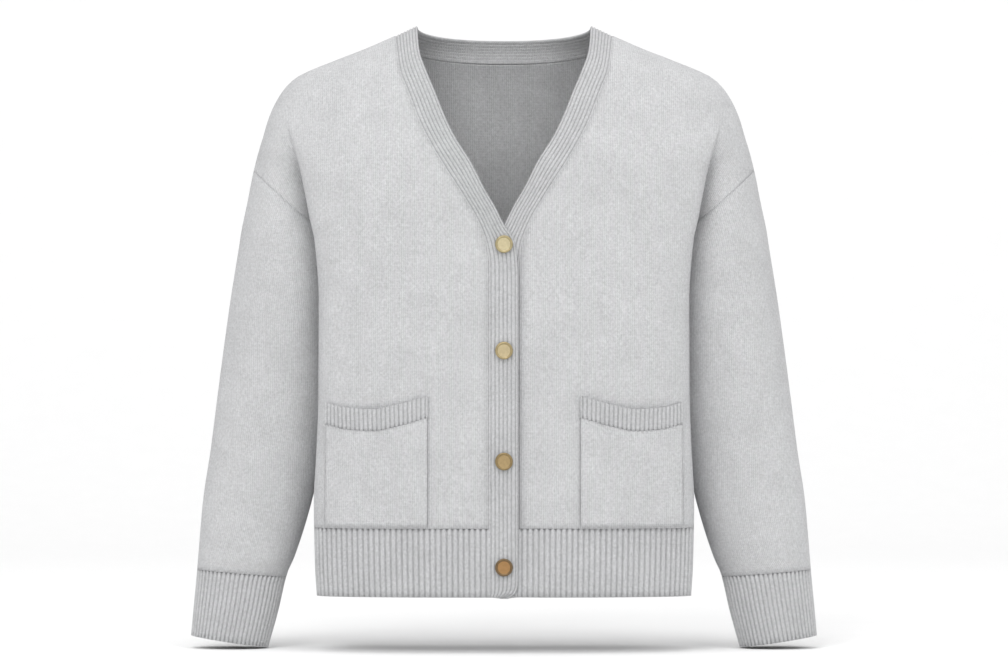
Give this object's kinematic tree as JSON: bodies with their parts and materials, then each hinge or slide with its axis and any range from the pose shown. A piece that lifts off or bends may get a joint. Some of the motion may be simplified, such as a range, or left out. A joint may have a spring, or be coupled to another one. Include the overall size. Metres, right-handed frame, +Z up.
{
  "type": "button cardigan",
  "caption": "V-neck knit cardigan with long sleeves, ribbed band, hem and cuffs, patch pockets and round buttons, filled out as worn",
  "frame": {"origin": "midway between the two neck points, at the height where the wearer's shoulders carry it", "axes": "+X is the wearer's left, -Y the front, +Z up"},
  "size_m": [0.6416, 0.1764, 0.636],
  "materials": {
    "plain_knit": "fine heather knit with a soft fuzz",
    "rib_knit": "narrow rib knit with a soft fuzz",
    "button_brass": "worn antique brass"
  },
  "bodies": {
    "root": {"back": "plain_knit", "front_right": "plain_knit", "front_left": "plain_knit", "sleeve_right": "plain_knit", "sleeve_left": "plain_knit", "cuff_right": "rib_knit", "cuff_left": "rib_knit", "hem_back": "rib_knit", "hem_front_right": "rib_knit", "hem_front_left": "rib_knit", "band": "rib_knit", "pocket_right": "plain_knit", "pocket_left": "plain_knit", "pocket_trim_right": "rib_knit", "pocket_trim_left": "rib_knit", "button_1": "button_brass", "button_2": "button_brass", "button_3": "button_brass", "button_4": "button_brass"}
  },
  "joints": []
}
